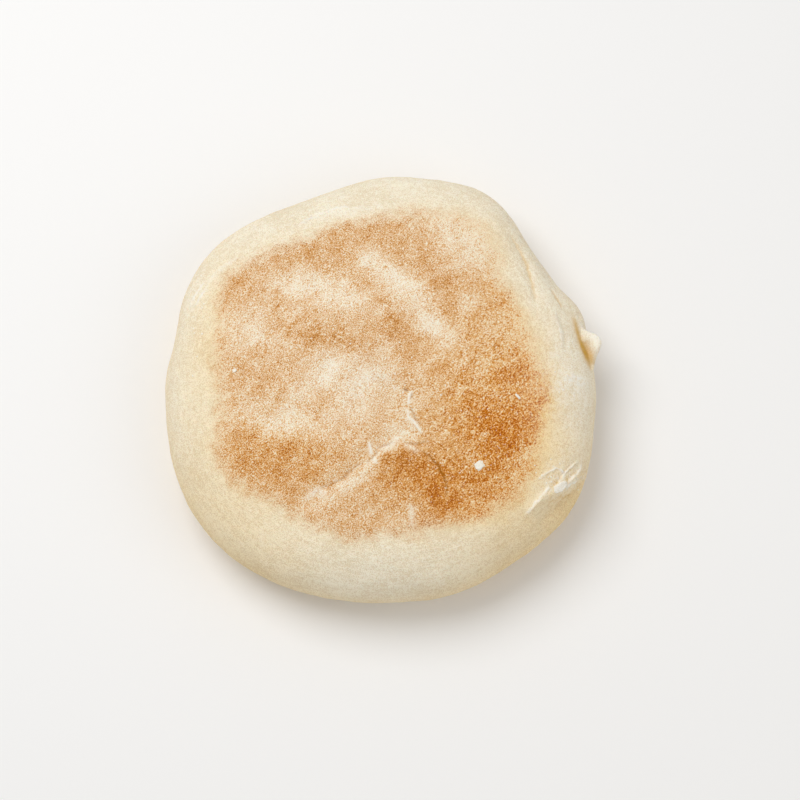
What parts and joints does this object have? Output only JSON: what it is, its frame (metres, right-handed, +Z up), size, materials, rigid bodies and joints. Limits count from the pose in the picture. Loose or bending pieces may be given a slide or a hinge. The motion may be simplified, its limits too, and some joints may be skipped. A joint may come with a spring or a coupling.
{
  "type": "baked flatbread",
  "caption": "Thick round griddle-baked flatbread with a mottled brown upper face, a pale rounded wall and a flat underside to rest on.",
  "frame": {"origin": "on the surface the bread lies on, under the middle of its bounding box", "axes": "+Z up, out of the browned upper face; +X towards the small ear of folded dough in the wall; -Y is the edge nearest the viewer in the picture"},
  "size_m": [0.152, 0.1526, 0.038],
  "materials": {
    "griddled_crust": "matte, floury bread crust, mottled golden brown on the faces and pale cream on the wall"
  },
  "bodies": {
    "root": {"flatbread": "griddled_crust"}
  },
  "joints": []
}
